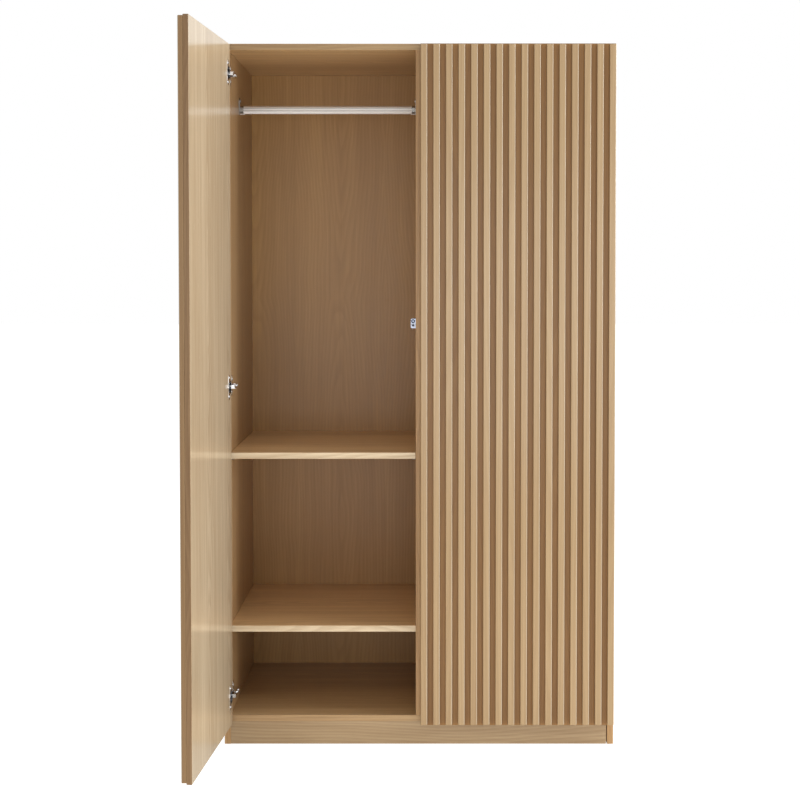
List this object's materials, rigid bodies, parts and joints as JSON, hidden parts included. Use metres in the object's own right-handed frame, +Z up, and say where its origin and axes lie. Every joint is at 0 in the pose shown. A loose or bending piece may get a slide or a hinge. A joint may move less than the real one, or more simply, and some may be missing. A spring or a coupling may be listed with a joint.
{
  "type": "wardrobe with doors",
  "caption": "Tall oak-look wardrobe with slatted push-to-open doors, hanging rails, shelves and a plinth.",
  "frame": {"origin": "on the floor under the middle of the carcass footprint, at the centre glide", "axes": "+X to the right seen from the front, +Y to the back, +Z up; the doors are on the -Y side"},
  "size_m": [1.0365, 1.0702, 1.796],
  "materials": {
    "oak_laminate": "satin light oak laminate",
    "oak_back": "satin light oak print",
    "oak_door": "satin light oak laminate",
    "oak_slats": "satin light oak foil",
    "rail_aluminium": "satin anodised",
    "hinge_nickel": "bright nickel plate",
    "zinc": "die-cast zinc",
    "latch_metal": "blue-grey zinc plate",
    "latch_tip": "soft pale tip",
    "glide_plastic": "matte",
    "dowel_beech": "raw beech"
  },
  "bodies": {
    "carcass": {"bottom_panel": "oak_laminate", "top_panel": "oak_laminate", "centre_divider": "oak_laminate", "plinth_front": "oak_laminate", "plinth_rear": "oak_laminate", "plinth_brace": "oak_laminate", "rail_bracket_screws": "hinge_nickel", "shelf_pins": "hinge_nickel", "floor_glides": "glide_plastic", "cam_locks": "zinc", "cam_bolts": "zinc", "wooden_dowels": "dowel_beech", "left_side_panel": "oak_laminate", "left_back_panel": "oak_back", "left_lower_shelf": "oak_laminate", "left_mid_shelf": "oak_laminate", "left_hanging_rail": "rail_aluminium", "left_rail_brackets": "zinc", "left_hinge_plates": "hinge_nickel", "left_hinge_arms": "hinge_nickel", "left_hinge_arm_screws": "hinge_nickel", "left_hinge_plate_screws": "hinge_nickel", "left_latch_body": "latch_metal", "left_latch_screws": "hinge_nickel", "right_side_panel": "oak_laminate", "right_back_panel": "oak_back", "right_lower_shelf": "oak_laminate", "right_mid_shelf": "oak_laminate", "right_hanging_rail": "rail_aluminium", "right_rail_brackets": "zinc", "right_hinge_plates": "hinge_nickel", "right_hinge_arms": "hinge_nickel", "right_hinge_arm_screws": "hinge_nickel", "right_hinge_plate_screws": "hinge_nickel", "right_latch_body": "latch_metal", "right_latch_screws": "hinge_nickel"},
    "left_door": {"left_door_board": "oak_door", "left_door_slats": "oak_slats", "left_hinge_cups": "hinge_nickel", "left_hinge_pins": "hinge_nickel", "left_cup_screws": "hinge_nickel"},
    "left_plunger": {"left_latch_plunger": "latch_metal", "left_latch_tip": "latch_tip"},
    "right_door": {"right_door_board": "oak_door", "right_door_slats": "oak_slats", "right_hinge_cups": "hinge_nickel", "right_hinge_pins": "hinge_nickel", "right_cup_screws": "hinge_nickel"},
    "right_plunger": {"right_latch_plunger": "latch_metal", "right_latch_tip": "latch_tip"}
  },
  "joints": [
    {"name": "left_door_swing", "type": "hinge", "parent": "carcass", "child": "left_door", "pos_m": [-0.4891, -0.3, 0.9255], "axis": [0, 0, -1], "range_deg": [-93.8, 11.2]},
    {"name": "right_door_swing", "type": "hinge", "parent": "carcass", "child": "right_door", "pos_m": [0.4891, -0.3, 0.9255], "axis": [0, 0, 1], "range_deg": [0, 105]},
    {"name": "left_latch_push", "type": "slide", "parent": "carcass", "child": "left_plunger", "axis": [0, 1, 0], "range_m": [0, 0.003], "stiffness_N_per_m": 1500},
    {"name": "right_latch_push", "type": "slide", "parent": "carcass", "child": "right_plunger", "axis": [0, 1, 0], "range_m": [0, 0.003], "stiffness_N_per_m": 1500}
  ]
}
